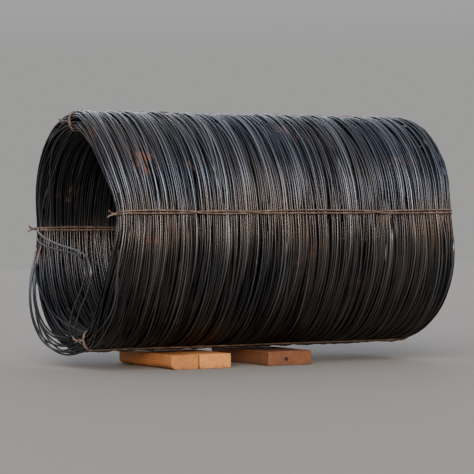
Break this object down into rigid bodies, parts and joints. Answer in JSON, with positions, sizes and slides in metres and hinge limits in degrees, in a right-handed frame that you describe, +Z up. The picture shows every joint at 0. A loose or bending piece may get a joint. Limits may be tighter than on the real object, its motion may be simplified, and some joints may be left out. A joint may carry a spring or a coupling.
{
  "type": "coil of steel wire rod",
  "caption": "Loose coil of steel wire rod on its side, held by doubled wire ties, with loose turns at its open end, resting on sawn timber bearers.",
  "frame": {"origin": "centre of the footprint of the whole assembly, at the underside of the timber bearers", "axes": "+X along the coil from its open end with the loose turns to its other end, +Y away from the side that the picture shows, +Z up"},
  "size_m": [1.9951, 1.25, 1.3253],
  "materials": {
    "steel_rod": "dark hot-rolled mill scale, slightly glossy",
    "tie_steel": "lightly rusted steel wire",
    "pale_timber": "rough sawn softwood",
    "red_timber": "rough sawn reddish wood"
  },
  "bodies": {
    "root": {"wire_coil": "steel_rod", "tie_wire_front": "tie_steel", "tie_wire_top": "tie_steel", "tie_wire_back": "tie_steel", "tie_wire_bottom": "tie_steel", "timber_bearer_left": "pale_timber", "timber_bearer_middle": "pale_timber", "timber_bearer_right": "red_timber"}
  },
  "joints": []
}
